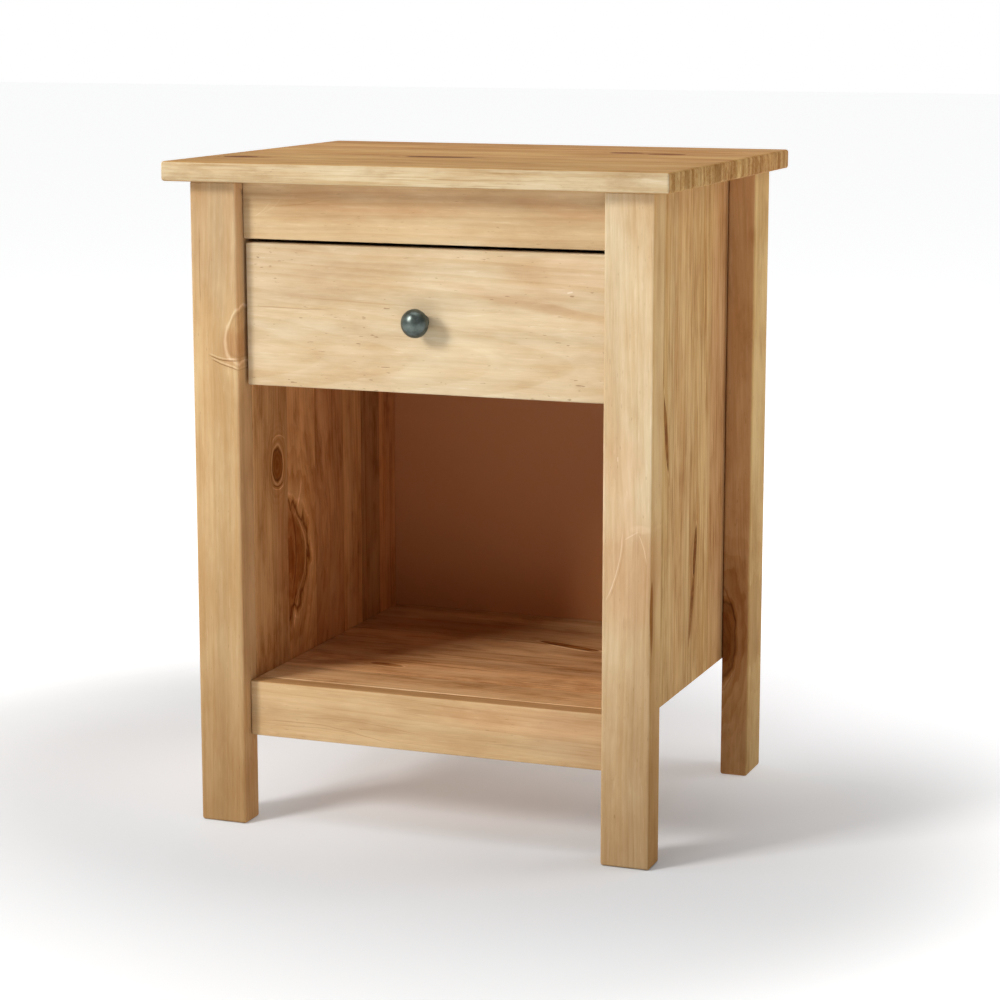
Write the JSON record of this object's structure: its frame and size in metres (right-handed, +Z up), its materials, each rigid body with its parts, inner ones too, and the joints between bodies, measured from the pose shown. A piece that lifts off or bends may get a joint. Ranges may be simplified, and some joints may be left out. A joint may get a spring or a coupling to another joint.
{
  "type": "bedside table",
  "caption": "Solid-pine bedside table with a sliding drawer over an open shelf compartment, post front legs, plank back legs and a dark turned knob.",
  "frame": {"origin": "on the floor, under the middle of the top board", "axes": "+Z up; -Y is the front, the way the drawer opens; +X is the right-hand side seen from the front"},
  "size_m": [0.48, 0.39, 0.62],
  "materials": {
    "pine": "clear satin lacquer on planed pine",
    "beech": "unfinished planed beech",
    "fibreboard": "smooth brown paint on fibreboard",
    "dark_metal": "dark grey satin, worn to a soft gloss",
    "zinc": "bright zinc plating",
    "plastic": "moulded off-white nylon"
  },
  "bodies": {
    "carcass": {"apron": "pine", "apron_bolt_left": "zinc", "apron_bolt_right": "zinc", "apron_cam_left": "zinc", "apron_cam_right": "zinc", "apron_dowel_left": "beech", "apron_dowel_right": "beech", "back_leg_dowel_left_high": "beech", "back_leg_dowel_left_low": "beech", "back_leg_dowel_right_high": "beech", "back_leg_dowel_right_low": "beech", "back_leg_left": "pine", "back_leg_right": "pine", "back_panel": "fibreboard", "bottom_rail": "pine", "bottom_rail_bolt_left": "zinc", "bottom_rail_bolt_right": "zinc", "bottom_rail_cam_left": "zinc", "bottom_rail_cam_right": "zinc", "bottom_rail_dowel_left": "beech", "bottom_rail_dowel_right": "beech", "drawer_runner_left": "beech", "drawer_runner_right": "beech", "front_leg_dowel_left_high": "beech", "front_leg_dowel_left_low": "beech", "front_leg_dowel_right_high": "beech", "front_leg_dowel_right_low": "beech", "front_leg_left": "pine", "front_leg_right": "pine", "rear_rail": "pine", "rear_rail_dowel_left": "beech", "rear_rail_dowel_right": "beech", "runner_screw_left_front": "zinc", "runner_screw_left_rear": "zinc", "runner_screw_right_front": "zinc", "runner_screw_right_rear": "zinc", "shelf": "pine", "shelf_dowel_left_front": "beech", "shelf_dowel_left_rear": "beech", "shelf_dowel_right_front": "beech", "shelf_dowel_right_rear": "beech", "side_panel_left": "pine", "side_panel_right": "pine", "top_panel": "pine", "top_screw_front": "zinc", "top_screw_rear_left": "zinc", "top_screw_rear_right": "zinc"},
    "drawer": {"drawer_back": "pine", "drawer_bottom": "fibreboard", "drawer_dowel_left_high": "beech", "drawer_dowel_left_low": "beech", "drawer_dowel_right_high": "beech", "drawer_dowel_right_low": "beech", "drawer_front": "pine", "drawer_side_left": "pine", "drawer_side_right": "pine", "drawer_stop_left": "plastic", "drawer_stop_right": "plastic", "knob": "dark_metal", "knob_screw": "zinc"}
  },
  "joints": [
    {"name": "drawer_slide", "type": "slide", "parent": "carcass", "child": "drawer", "axis": [0, -1, 0], "range_m": [0, 0.255]}
  ]
}
